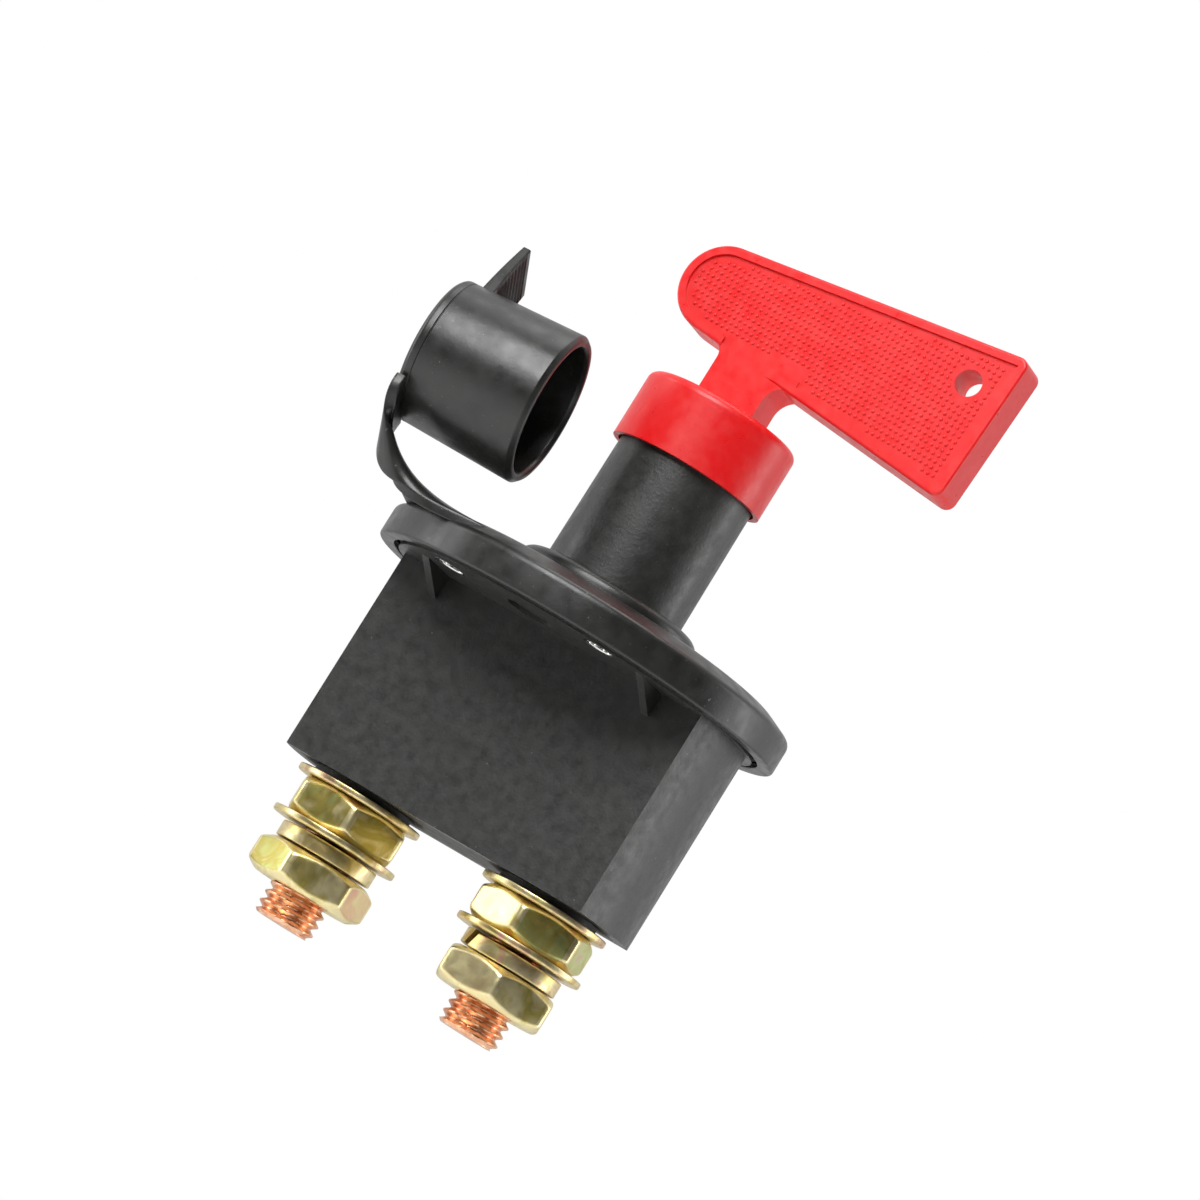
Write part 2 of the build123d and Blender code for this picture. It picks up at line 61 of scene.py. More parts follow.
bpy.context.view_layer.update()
MM = 0.001
WELD_MM = 0.002          # points nearer than this are one point
LOG = logging.getLogger("battery_switch")


# --- surfaces ---------------------------------------------------------------------------------------

@dataclass(frozen=True)
class Skin:
    """One closed surface as a grid of points, in millimetres.

    points is (rows, columns, 3). wrap_rows joins the last row to the first, and wrap_columns the last column.
    """

    points: Array
    wrap_rows: bool = True
    wrap_columns: bool = True

    def faces(self) -> Array:
        """Corner numbers of the grid's quads.

        Returns:
            An (n, 4) array: corner (i, j), its neighbour along the row, the one across, and its neighbour down.
        """
        rows, columns = self.points.shape[:2]
        i = np.arange(rows if self.wrap_rows else rows - 1)[:, None]
        j = np.arange(columns if self.wrap_columns else columns - 1)[None, :]
        down, along = (i + 1) % rows, (j + 1) % columns
        corners = np.stack(np.broadcast_arrays(i * columns + j, i * columns + along,
                                               down * columns + along, down * columns + j), axis=-1)
        return corners.reshape(-1, 4)

    def moved(self, offset: Sequence[float]) -> "Skin":
        """The same surface shifted by an (x, y, z) offset."""
        return Skin(self.points + np.asarray(offset, float), self.wrap_rows, self.wrap_columns)


def capped(points: Array) -> Skin:
    """Closes a tube at both ends, by a last row that has shrunk to the middle of the end.

    Args:
        points: Rows round the tube, (rows, columns, 3).

    Returns:
        The closed surface.
    """
    ends = [np.broadcast_to(row.mean(axis=0), row.shape)[None] for row in (points[0], points[-1])]
    return Skin(np.concatenate([ends[0], points, ends[1]]), wrap_rows=False)


def rounded(corners: Array, radii: Array, steps: int = 4) -> Array:
    """Rounds the corners of closed outlines.

    Each corner P becomes a parabola from A on the side before it to C on the side after it,
    B(t) = (1 - t)^2 A + 2 t (1 - t) P + t^2 C, with A and C its radius away, or 0.45 of a shorter side.

    Args:
        corners: Outlines of n corners, (..., n, 2).
        radii: How much each corner is cut back, (n,).
        steps: Points of each parabola.

    Returns:
        Outlines of n * steps points.
    """
    def reach(side: Array) -> Array:
        """Vector along one side to where its curve starts."""
        length = np.maximum(np.linalg.norm(side, axis=-1, keepdims=True), 1e-9)
        return side / length * np.minimum(np.asarray(radii, float)[:, None], 0.45 * length)

    start = corners + reach(np.roll(corners, 1, axis=-2) - corners)
    end = corners + reach(np.roll(corners, -1, axis=-2) - corners)
    t = np.linspace(0, 1, steps)[:, None]
    curve = ((1 - t) ** 2 * start[..., None, :] + 2 * t * (1 - t) * corners[..., None, :]
             + t ** 2 * end[..., None, :])
    return curve.reshape(*corners.shape[:-2], -1, 2)


def turned(profile: Array, angles: Array) -> Array:
    """Carries (radius, height) profiles round Z: x = r cos a, y = r sin a, z = height.

    Args:
        profile: One profile (k, 2), or one for each angle (angles, k, 2).
        angles: Angles about Z in radians.

    Returns:
        Points as (angles, k, 3).
    """
    profile = np.broadcast_to(profile, (len(angles), *profile.shape[-2:]))
    radius, height = profile[..., 0], profile[..., 1]
    return np.stack([radius * np.cos(angles)[:, None], radius * np.sin(angles)[:, None], height], axis=-1)


def around(count: int) -> Array:
    """Evenly spaced angles of a full turn, in radians."""
    return np.arange(count) * (2 * np.pi / count)


def polygon_radius(angles: Array, sides: int, flat: float, sharpness: float) -> Array:
    """Radius of a regular polygon with soft corners: r = flat / (sum over its faces of cos(a - face)^p)^(1/p).

    Args:
        angles: Angles in radians, with a face's middle at 0.
        sides: How many faces.
        flat: Distance of a face from the axis.
        sharpness: The power p; a higher one gives a sharper corner.

    Returns:
        The radius at each angle.
    """
    facing = np.clip(np.cos(angles[:, None] - around(sides)), 0, None)
    return flat / (facing ** sharpness).sum(axis=1) ** (1 / sharpness)


def smoothstep(value: Array, low: float, high: float) -> Array:
    """0 below low, 1 above high, and 3t^2 - 2t^3 between them."""
    t = np.clip((value - low) / (high - low), 0, 1)
    return t * t * (3 - 2 * t)


# --- node materials ---------------------------------------------------------------------------------

def linear(hex_colour: str) -> tuple[float, float, float, float]:
    """Linear RGBA of an sRGB hex colour: c / 12.92 below 0.04045, else ((c + 0.055) / 1.055)^2.4."""
    channels = [int(hex_colour[i:i + 2], 16) / 255 for i in (1, 3, 5)]
    return (*(c / 12.92 if c <= 0.04045 else ((c + 0.055) / 1.055) ** 2.4 for c in channels), 1.0)


def add_node(tree: bpy.types.NodeTree, kind: str, settings: Mapping[str | int, Any] | None = None,
             links: Mapping[str | int, Any] | None = None) -> bpy.types.Node:
    """Adds one node.

    Args:
        tree: The node tree.
        kind: Blender's name of the node's class.
        settings: Values by name: "stops" gives a ramp's (place, hex colour) pairs, a name that the node has
            sets that property, and any other name or number sets an input.
        links: For inputs by name or number, the output socket that feeds them.

    Returns:
        The node.
    """
    node = tree.nodes.new(kind)
    for name, value in (settings or {}).items():
        if name == "stops":
            points = node.color_ramp.elements
            while len(points) < len(value):
                points.new(0.5)
            for point, (place, colour) in zip(points, value):
                point.position, point.color = place, linear(colour)
        elif isinstance(name, str) and hasattr(node, name):
            setattr(node, name, value)
        else:
            node.inputs[name].default_value = value
    for name, source in (links or {}).items():
        tree.links.new(source, node.inputs[name])
    return node


class Grain(Enum):
    """How a surface was left by its making."""

    MOULDED = "moulded"
    TURNED = "turned"
    ROLLED = "rolled"


@dataclass(frozen=True)
class Finish:
    """What every finish has: a name, the shader's plain values, and a node tree built on first use."""

    name: str = "finish"
    roughness: float = 0.5
    metallic: float = 0.0
    ior: float = 1.5

    def material(self) -> bpy.types.Material:
        """The finish's Blender material, made once."""
        found = bpy.data.materials.get(self.name)
        if found:
            return found
        made = bpy.data.materials.new(self.name)
        made.use_nodes = True
        tree = made.node_tree
        tree.nodes.clear()
        shader = add_node(tree, "ShaderNodeBsdfPrincipled", {"Roughness": self.roughness,
                                                            "Metallic": self.metallic})
        if not self.metallic:
            shader.inputs["IOR"].default_value = self.ior
        add_node(tree, "ShaderNodeOutputMaterial", links={"Surface": shader.outputs[0]})
        place = add_node(tree, "ShaderNodeTexCoord").outputs["Object"]
        self.dress(tree, shader, place)
        return made

    def dress(self, tree: bpy.types.NodeTree, shader: bpy.types.Node, place: bpy.types.NodeSocket) -> None:
        """Adds the finish's own nodes. Each finish has its own version."""
        raise NotImplementedError


def noise(tree: bpy.types.NodeTree, place: bpy.types.NodeSocket, size_mm: float, detail: float = 3.0,
          distortion: float = 0.0) -> bpy.types.NodeSocket:
    """Noise whose lumps are about size_mm across, as its Factor socket."""
    return add_node(tree, "ShaderNodeTexNoise", {"Scale": 1 / (size_mm * MM), "Detail": detail,
                                                 "Distortion": distortion}, {"Vector": place}).outputs["Fac"]


def between(tree: bpy.types.NodeTree, source: bpy.types.NodeSocket, low: float, high: float,
            to_low: float, to_high: float) -> bpy.types.NodeSocket:
    """source mapped from low..high to to_low..to_high, held at the ends."""
    return add_node(tree, "ShaderNodeMapRange", {"From Min": low, "From Max": high, "To Min": to_low,
                                                 "To Max": to_high}, {"Value": source}).outputs["Result"]


@dataclass(frozen=True)
class DarkMoulding(Finish):
    """Black moulded plastic or rubber: near-black body, cloudy bloom, pale dust specks and a fine grain."""

    colour: str = "#222321"
    bloom: str = "#292a27"       # the greyer clouds
    bloom_mm: float = 5.0
    dust: str = "#77776f"
    dust_mm: float = 0.45        # a speck of dust, drawn no finer than the render can show
    dust_share: float = 0.0
    grain_mm: float = 0.5
    grain_height_mm: float = 0.03
    wave_mm: float = 6.0         # sink and flow of the moulding
    wave_height_mm: float = 0.05
    roughness_spread: float = 0.08
    specular: float = 0.5

    def dress(self, tree: bpy.types.NodeTree, shader: bpy.types.Node, place: bpy.types.NodeSocket) -> None:
        """Clouds the colour, scatters dust, varies the gloss and raises grain and flow waves."""
        clouds = noise(tree, place, self.bloom_mm, 5.0, 0.4)
        body = add_node(tree, "ShaderNodeValToRGB", {"stops": ((0.32, self.colour), (0.72, self.bloom))},
                        {"Fac": clouds}).outputs["Color"]
        specks = noise(tree, place, self.dust_mm, 1.0)
        drift = noise(tree, place, self.bloom_mm * 0.8, 2.0)
        where = add_node(tree, "ShaderNodeMath", {"operation": "MULTIPLY"},
                         {0: between(tree, specks, 0.74 - 0.08 * self.dust_share, 0.8, 0.0, 1.0),
                          1: between(tree, drift, 0.45, 0.7, 0.2, 1.0)}).outputs[0]
        dusty = add_node(tree, "ShaderNodeMix", {"data_type": "RGBA", 7: linear(self.dust)},
                         {0: where, 6: body})
        tree.links.new(dusty.outputs[2], shader.inputs["Base Color"])
        gloss = noise(tree, place, self.bloom_mm * 0.35, 4.0)
        tree.links.new(between(tree, gloss, 0.3, 0.7, self.roughness - self.roughness_spread,
                               self.roughness + self.roughness_spread), shader.inputs["Roughness"])
        shader.inputs["Specular IOR Level"].default_value = self.specular
        waves = add_node(tree, "ShaderNodeBump", {"Distance": self.wave_height_mm * MM, "Strength": 1.0},
                         {"Height": noise(tree, place, self.wave_mm, 1.0)})
        grain = add_node(tree, "ShaderNodeBump", {"Distance": self.grain_height_mm * MM, "Strength": 1.0},
                         {"Height": noise(tree, place, self.grain_mm, 2.0), "Normal": waves.outputs[0]})
        tree.links.new(grain.outputs[0], shader.inputs["Normal"])


@dataclass(frozen=True)
class RedMoulding(Finish):
    """Red moulded polypropylene: clear strong red, a little light inside it, paler where it is scuffed."""

    roughness: float = 0.34
    ior: float = 1.49
    colour: str = "#e31a1d"
    scuffed: str = "#e83532"
    subsurface: float = 0.12
    depth_mm: float = 1.2

    def dress(self, tree: bpy.types.NodeTree, shader: bpy.types.Node, place: bpy.types.NodeSocket) -> None:
        """Blends scuffed red over the body colour, varies the gloss and raises a soft grain."""
        clouds = noise(tree, place, 3.2, 6.0, 0.8)
        colour = add_node(tree, "ShaderNodeValToRGB", {"stops": ((0.45, self.colour), (0.9, self.scuffed))},
                          {"Fac": clouds}).outputs["Color"]
        tree.links.new(colour, shader.inputs["Base Color"])
        tree.links.new(between(tree, noise(tree, place, 1.6, 5.0), 0.3, 0.7, self.roughness - 0.07,
                               self.roughness + 0.1), shader.inputs["Roughness"])
        shader.inputs["Subsurface Weight"].default_value = self.subsurface
        shader.inputs["Subsurface Radius"].default_value = (1.0, 0.25, 0.2)
        shader.inputs["Subsurface Scale"].default_value = self.depth_mm * MM
        waves = add_node(tree, "ShaderNodeBump", {"Distance": 0.06 * MM, "Strength": 1.0},
                         {"Height": noise(tree, place, 4.5, 1.0)})
        grain = add_node(tree, "ShaderNodeBump", {"Distance": 0.01 * MM, "Strength": 1.0},
                         {"Height": noise(tree, place, 0.4, 2.0), "Normal": waves.outputs[0]})
        tree.links.new(grain.outputs[0], shader.inputs["Normal"])


@dataclass(frozen=True)
class PlatedMetal(Finish):
    """Plated or bare metal: a run of colours by cloudy noise, shifted facet by facet by a painted per-flat
    colour, with tool marks.
    """

    metallic: float = 1.0
    stops: tuple[tuple[float, str], ...] = ((0.0, "#b0b0b0"), (1.0, "#d0d0d0"))
    cloud_mm: float = 5.0
    facet_share: float = 0.0     # how far each facet's own tint moves the colour; on the nuts that tint is painted reflection colour and painted highlight
    marks_mm: float = 0.5
    marks_height_mm: float = 0.006
    dings_height_mm: float = 0.03
    roughness_spread: float = 0.08
    grain: Grain = Grain.MOULDED

    def dress(self, tree: bpy.types.NodeTree, shader: bpy.types.Node, place: bpy.types.NodeSocket) -> None:
        """Colours by clouds and facet, varies the gloss, and raises dings and tool marks."""
        clouds = between(tree, noise(tree, place, self.cloud_mm, 4.0, 1.2), 0.3, 0.7, 0.0, 1.0)
        # On the nuts the facet value is painted light: each flat's reflection colour for its angle, and a
        # painted pale-cream highlight on corners and chamfers.
        if self.facet_share:
            facet = add_node(tree, "ShaderNodeAttribute", {"attribute_name": "facet"}).outputs["Fac"]
            own = add_node(tree, "ShaderNodeMath", {"operation": "MULTIPLY", 1: self.facet_share}, {0: facet})
            rest = add_node(tree, "ShaderNodeMath", {"operation": "MULTIPLY", 1: 1 - self.facet_share},
                            {0: clouds})
            clouds = add_node(tree, "ShaderNodeMath", {"operation": "ADD"},
                              {0: own.outputs[0], 1: rest.outputs[0]}).outputs[0]
        colour = add_node(tree, "ShaderNodeValToRGB", {"stops": self.stops}, {"Fac": clouds})
        tree.links.new(colour.outputs["Color"], shader.inputs["Base Color"])
        tree.links.new(between(tree, noise(tree, place, 1.5, 5.0), 0.3, 0.7, self.roughness,
                               self.roughness + self.roughness_spread), shader.inputs["Roughness"])
        stretch = (1.0, 1.0, 1.0)
        if self.grain is Grain.TURNED:
            stretch = (0.15, 0.15, 1.0)
        elif self.grain is Grain.ROLLED:
            stretch = (1.0, 1.0, 0.2)
        along = add_node(tree, "ShaderNodeMapping", {"Scale": stretch}, {"Vector": place}).outputs[0]
        dings = add_node(tree, "ShaderNodeBump", {"Distance": self.dings_height_mm * MM, "Strength": 1.0},
                         {"Height": noise(tree, place, 2.4, 3.0)})
        marks = add_node(tree, "ShaderNodeBump", {"Distance": self.marks_height_mm * MM, "Strength": 1.0},
                         {"Height": noise(tree, along, self.marks_mm, 3.0), "Normal": dings.outputs[0]})
        tree.links.new(marks.outputs[0], shader.inputs["Normal"])


@dataclass(frozen=True)
class StudioPaper(Finish):
    """White seamless paper: flat, with a faint tooth."""

    roughness: float = 0.9
    colour: str = "#f6f6f6"

    def dress(self, tree: bpy.types.NodeTree, shader: bpy.types.Node, place: bpy.types.NodeSocket) -> None:
        """Gives the paper its white and a faint tooth."""
        shader.inputs["Base Color"].default_value = linear(self.colour)
        tooth = add_node(tree, "ShaderNodeBump", {"Distance": 0.05 * MM, "Strength": 0.3},
                         {"Height": noise(tree, place, 1.5)})
        tree.links.new(tooth.outputs[0], shader.inputs["Normal"])


# Glass-filled nylon body: near-black, with a soft gloss.
NYLON_BODY = DarkMoulding("glass_filled_nylon", 0.42, specular=0.7)
# The base plate is the same plastic, a little rougher from its mould.
NYLON_BASE = DarkMoulding("glass_filled_nylon_base", 0.55, colour="#20211f", dust_share=0.2)
# Moulded rubber: glossier and blacker than the nylon, with broader clouds.
BOOT_RUBBER = DarkMoulding("moulded_rubber", 0.36, colour="#1b1c1a", bloom="#232421", bloom_mm=7.0,
                           specular=0.65, dust_share=0.25, grain_height_mm=0.012, wave_height_mm=0.08)
RED_KEY = RedMoulding("red_polypropylene")
# Yellow chromate on zinc: brass cream that drifts to olive, pink and green as the film's thickness changes, by
# clouds.
# On the nuts each flat also gets its own place in this run, a painted reflection colour for the angle it faces,
# and corners and chamfers are painted pale cream as highlight.
YELLOW_ZINC = PlatedMetal("yellow_chromate_zinc", 0.3,
                          stops=((0.0, "#d9a58c"), (0.22, "#e3cf9a"), (0.45, "#efe2ae"), (0.62, "#bfae5c"),
                                 (0.8, "#c8d08a"), (1.0, "#dca7a0")),
                          facet_share=0.7, marks_mm=0.6, marks_height_mm=0.006)
YELLOW_ZINC_WASHER = PlatedMetal("yellow_chromate_zinc_washer", 0.3,
                                 stops=((0.0, "#c9a07c"), (0.4, "#e6d6a6"), (0.7, "#cdbb76"), (1.0, "#d9a89a")),
                                 marks_mm=0.5, marks_height_mm=0.01)
# Bare turned copper: salmon, clouded lighter and darker, with marks that run round the stud.
COPPER = PlatedMetal("bare_copper", 0.26, stops=((0.0, "#c98460"), (0.5, "#eeb48c"), (1.0, "#f8d2b4")),
                     cloud_mm=2.0, marks_mm=0.35, marks_height_mm=0.01, grain=Grain.TURNED)
NICKEL = PlatedMetal("nickel_plate", 0.18, stops=((0.0, "#b9b7b2"), (1.0, "#e2e0da")), cloud_mm=2.0)
SPRING_STEEL = PlatedMetal("spring_steel", 0.35, stops=((0.0, "#8b8a88"), (1.0, "#b5b4b2")), cloud_mm=3.0,
                           grain=Grain.ROLLED)
# Unfilled nylon of the cam and plunger: milky.
NATURAL_NYLON = DarkMoulding("natural_nylon", 0.45, colour="#cfcbbd", bloom="#ddd9cc", dust="#f2f0e8")
PAPER = StudioPaper("studio_paper")


# --- pieces -----------------------------------------------------------------------------------------

@dataclass
class Piece:
    """A mesh on its way to the scene: where it rides, what it is finished in and what it stands for."""

    name: str
    skins: list[Skin]
    finish: Finish
    body: str
    slot: str
    replaces: tuple[str, ...] = ()
    sharp_deg: float = 42.0

    def build(self, ride: bool = True) -> bpy.types.Object:
        """Makes the mesh, closes its seams and poles, turns its faces outwards and hands it to its body.

        Args:
            ride: False leaves the piece on no body.

        Returns:
            The object, at the origin with its place in its mesh.
        """
        counts = np.cumsum([0] + [skin.points.shape[0] * skin.points.shape[1] for skin in self.skins])
        points = np.concatenate([skin.points.reshape(-1, 3) for skin in self.skins]) * MM
        faces = np.concatenate([skin.faces() + start for skin, start in zip(self.skins, counts)])
        mesh = bpy.data.meshes.new(self.name)
        mesh.from_pydata(points.tolist(), [], faces.tolist())
        work = bmesh.new()
        work.from_mesh(mesh)
        bmesh.ops.remove_doubles(work, verts=work.verts, dist=WELD_MM * MM)
        bmesh.ops.recalc_face_normals(work, faces=work.faces)
        work.to_mesh(mesh)
        work.free()
        mesh.shade_smooth()
        mesh.set_sharp_from_angle(angle=np.radians(self.sharp_deg))
        mesh.materials.append(self.finish.material())
        made = bpy.data.objects.new(self.name, mesh)
        bpy.context.scene.collection.objects.link(made)
        if self.replaces:
            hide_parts(*self.replaces)
        if ride:
            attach(made, self.body)
        LOG.info("%s: %d faces on %s", self.name, len(mesh.polygons), self.body)
        return made


def dress_node(node: str, finish: Finish) -> None:
    """Gives a CAD node its finish."""
    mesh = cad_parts[node].data
    mesh.materials.clear()
    mesh.materials.append(finish.material())
    LOG.info("%s: CAD node in %s", node, finish.name)


def box_mm(node: str) -> tuple[Array, Array]:
    """Lowest and highest corner of a CAD node, in millimetres."""
    low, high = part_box(node)
    return np.array(low) / MM, np.array(high) / MM


# --- the terminals ----------------------------------------------------------------------------------

@dataclass
class Terminal:
    """One terminal stud with its washers and nuts."""

    side: str
    nut_turns: tuple[float, float]       # inner and outer nut, a flat's middle from +X, in degrees
    split_turn: float
    # Painted colour of each nut flat, inner nut then outer: the reflection colour that flat shows at its angle.
    tints: tuple[tuple[float, ...], tuple[float, ...]]
    bore_r: float = 4.95
    nut_flat: float = 8.5
    nut_face_r: float = 7.85
    nut_chamfer: float = 0.6             # tangent of the chamfer
    nut_sharpness: float = 38.0
    pitch: float = 1.5
    crest_r: float = 4.78
    root_r: float = 4.0
    root_share: float = 0.14             # part of the pitch that the root takes
    flank_share: float = 0.7             # part that the two flanks take; the crest has the rest
    thread_top: float = -41.0
    thread_rows: int = 14                # rows of points in one pitch
    tip_r: float = 4.25
    tip_cone: float = 1.1                # growth of the tip's radius for each mm of height
    shank_r: float = 4.6
    head_half: float = 7.0
    head_height: float = 4.0
    head_edge: float = 0.3
    head_sharpness: float = 60.0
    nut_points: int = 180
    nut_crowding: float = 0.8            # how strongly a nut's points gather at its corners
    nut_bore_cut: float = 0.5
    washer_points: int = 144
    split_gap_deg: float = 9.0
    split_rise: float = 0.16
    split_lean: float = 0.06             # radians of lean for each mm of height
    split_points: int = 140

    def build(self) -> None:
        """Makes every piece on this stud."""
        self.stud()
        self.nut("inner_nut", self.nut_turns[0], self.tints[0])
        self.nut("outer_nut", self.nut_turns[1], self.tints[1])
        self.washer("inner_washer")
        self.washer("outer_washer")
        self.spring_washer()

    def centre(self) -> Array:
        """The stud's axis, as an (x, y, 0) offset, from the CAD stud's box."""
        low, high = box_mm(f"stud_{self.side}")
        middle = (low + high) / 2
        return np.array([middle[0], middle[1], 0.0])

    def piece(self, kind: str, skin: Skin, finish: Finish, slot: str) -> bpy.types.Object:
        """Builds one piece of the stack in place of its CAD node."""
        node = f"{kind}_{self.side}"
        return Piece(f"{node}_made", [skin.moved(self.centre())], finish, "root", slot, (node,)).build()

    def stud(self) -> None:
        """Threaded stud with a square head.

        The thread's radius is a ridge of (height / pitch + angle / turn), rising and falling in straight
        flanks with a flat crest and root. A cone cuts it at the tip, and above thread_top it is plain.
        """
        low, high = box_mm(f"stud_{self.side}")
        angles = around(96)
        heights = np.arange(low[2], self.thread_top, self.pitch / self.thread_rows)[:, None]
        phase = (heights / self.pitch - angles / (2 * np.pi)) % 1.0
        ridge = np.clip((1 - np.abs(2 * phase - 1) - self.root_share) / self.flank_share, 0, 1)
        radius = self.root_r + (self.crest_r - self.root_r) * ridge
        radius = np.minimum(radius, self.tip_r + self.tip_cone * (heights - low[2]))
        shank = np.full(len(angles), self.shank_r)
        square = polygon_radius(angles, 4, self.head_half, self.head_sharpness)
        under, edge = high[2] - self.head_height, self.head_edge
        rows = [(shank, self.thread_top), (shank, under), (square - edge, under),
                (square, under + edge), (square, high[2] - edge), (square - edge, high[2])]
        radius = np.concatenate([radius, [row for row, _ in rows]])
        height = np.concatenate([np.broadcast_to(heights, (len(heights), len(angles))),
                                 [np.full(len(angles), z) for _, z in rows]])
        points = np.stack([radius * np.cos(angles), radius * np.sin(angles), height], axis=-1)
        self.piece("stud", capped(points), COPPER, "copper")

    def nut(self, kind: str, turn: float, tints: Sequence[float]) -> None:
        """Hexagon nut: a soft-cornered prism cut by a cone at both faces.

        At each angle the side runs between the two heights at which the cone, radius = face radius +
        depth / tangent, meets the prism.

        Args:
            kind: Its name on the stack.
            turn: Where the middle of one flat points, in degrees from +X.
            tints: Each flat's place in the plating's run of colours, from that flat on: painted reflection
                colour for the angle that flat faces.
        """
        low, high = box_mm(f"{kind}_{self.side}")
        bottom, top = low[2], high[2]
        share = around(self.nut_points) / (2 * np.pi) * 6
        crowd = (share % 1) - self.nut_crowding / (2 * np.pi) * np.sin(2 * np.pi * (share % 1))
        angles = (np.floor(share) + crowd + 0.5) * (np.pi / 3)
        side = polygon_radius(angles, 6, self.nut_flat, self.nut_sharpness)
        cut = (side - self.nut_face_r) * self.nut_chamfer
        face = np.full_like(side, self.nut_face_r)
        bore, bore_cut = np.full_like(side, self.bore_r), self.nut_bore_cut
        outline = ((bore, bottom + bore_cut), (bore + bore_cut, bottom), (face, bottom), (side, bottom + cut),
                   (side, top - cut), (face, top), (bore + bore_cut, top), (bore, top - bore_cut))
        corners = np.stack([np.stack(np.broadcast_arrays(r, z), axis=-1) for r, z in outline], axis=1)
        profile = rounded(corners, np.array([0.0, 0.1, 0.3, 0.5, 0.5, 0.3, 0.1, 0.0]))
        points = turned(profile, angles)
        spin = np.radians(turn)
        x, y = points[..., 0].copy(), points[..., 1].copy()
        points[..., 0] = x * np.cos(spin) - y * np.sin(spin)
        points[..., 1] = x * np.sin(spin) + y * np.cos(spin)
        made = self.piece(kind, Skin(points), YELLOW_ZINC, "yellow_zinc")
        self.tint(made, turn, tints)

    def tint(self, made: bpy.types.Object, turn: float, tints: Sequence[float]) -> None:
        """Writes each flat's tint to the nut's "facet" attribute, a painted reflection colour for the angle the
        flat faces; corners, chamfers and end faces take the middle of the run (0.4), a pale cream painted as
        highlight on the corners and chamfers.
        """
        count = len(made.data.polygons)
        centre, normal = np.zeros(count * 3), np.zeros(count * 3)
        made.data.polygons.foreach_get("center", centre)
        made.data.polygons.foreach_get("normal", normal)
        centre = centre.reshape(-1, 3) / MM - self.centre()
        heading = np.degrees(np.arctan2(centre[:, 1], centre[:, 0])) - turn
        flat = np.round(heading / 60).astype(int) % 6
        edge = np.abs(heading - np.round(heading / 60) * 60) / 30
        upright = np.abs(normal.reshape(-1, 3)[:, 2]) < 0.25
        # Corners, chamfers and end faces get 0.4: pale cream, painted highlight on the corners and chamfers.
        value = np.where(upright & (edge < 0.86), np.asarray(tints)[flat], 0.4)
        attribute = made.data.attributes.new("facet", "FLOAT", "FACE")
        attribute.data.foreach_set("value", value.astype(np.float32))

    def washer(self, kind: str) -> None:
        """Stamped flat washer, its edges rounded more on the side that the punch entered."""
        low, high = box_mm(f"{kind}_{self.side}")
        outer = (high[0] - low[0]) / 2
        corners = np.array([[self.bore_r, low[2]], [outer, low[2]], [outer, high[2]], [self.bore_r, high[2]]])
        profile = rounded(corners, np.array([0.15, 0.35, 0.2, 0.15]))
        self.piece(kind, Skin(turned(profile, around(self.washer_points))), YELLOW_ZINC_WASHER, "yellow_zinc")

    def spring_washer(self) -> None:
        """Split spring washer: a square section carried round a slight helix, closed at its two slanted ends.

        The angle of a point also leans with its height, which slants the two cut ends.
        """
        low, high = box_mm(f"spring_washer_{self.side}")
        outer = (high[0] - low[0]) / 2
        half_gap = np.radians(self.split_gap_deg / 2)
        angles = np.linspace(half_gap, 2 * np.pi - half_gap, self.split_points)
        corners = np.array([[self.bore_r, low[2]], [outer, low[2]], [outer, high[2]], [self.bore_r, high[2]]])
        profile = rounded(corners, np.full(4, 0.25))
        points = turned(profile, angles)
        middle = (low[2] + high[2]) / 2
        lean = (points[..., 2] - middle) * self.split_lean
        heading = angles[:, None] + np.radians(self.split_turn) + lean
        radius = np.hypot(points[..., 0], points[..., 1])
        points[..., 0], points[..., 1] = radius * np.cos(heading), radius * np.sin(heading)
        points[..., 2] += self.split_rise * (2 * angles[:, None] / (2 * np.pi) - 1)
        self.piece("spring_washer", capped(points), YELLOW_ZINC_WASHER, "yellow_zinc")


# --- the rubber parts -------------------------------------------------------------------------------

